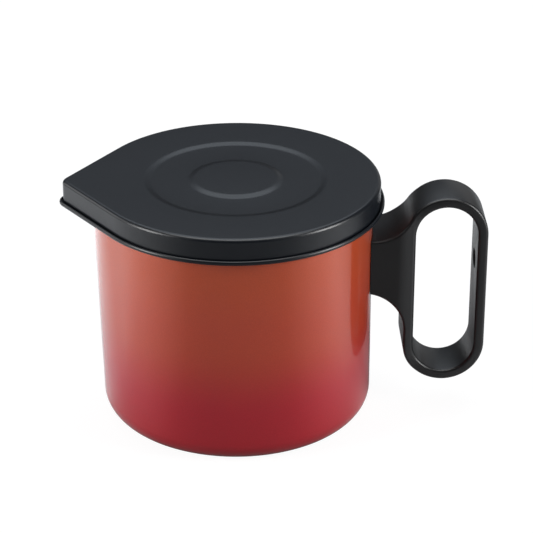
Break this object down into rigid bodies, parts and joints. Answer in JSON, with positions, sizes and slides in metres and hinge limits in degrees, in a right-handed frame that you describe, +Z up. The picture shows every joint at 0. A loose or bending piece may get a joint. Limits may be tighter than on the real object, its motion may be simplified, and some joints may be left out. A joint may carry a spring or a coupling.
{
  "type": "bacon grease container",
  "caption": "Lidded steel pot with a pouring spout, a drop-in strainer under the lid and a loop handle, for straining and keeping cooking fat.",
  "frame": {"origin": "centre of the pot's flat base, on the plane that it stands on", "axes": "+Z up along the pot's axis, +X towards the handle, the spout points along -X, +Y completes the right-handed frame"},
  "size_m": [0.2076, 0.1442, 0.1213],
  "materials": {
    "pot_enamel": "glossy metallic coating that fades from orange at the rim to crimson at the base",
    "lid_enamel": "satin black coating",
    "stainless": "bright drawn stainless steel",
    "woven_stainless": "fine woven stainless wire",
    "phenolic": "satin moulded phenolic",
    "zinc_steel": "zinc-plated steel"
  },
  "bodies": {
    "pot": {"pot_body": "pot_enamel", "handle": "phenolic", "handle_bracket": "zinc_steel", "bracket_nut": "zinc_steel", "spring_washer": "zinc_steel", "handle_screw": "zinc_steel"},
    "strainer": {"strainer_rim": "stainless", "strainer_mesh": "woven_stainless", "strainer_clamp_ring": "stainless"},
    "lid": {"lid": "lid_enamel"}
  },
  "joints": [
    {"name": "strainer_lift", "type": "slide", "parent": "pot", "child": "strainer", "axis": [0, 0, 1], "range_m": [0, 0.09]},
    {"name": "lid_lift", "type": "slide", "parent": "strainer", "child": "lid", "axis": [0, 0, 1], "range_m": [0, 0.05]}
  ]
}
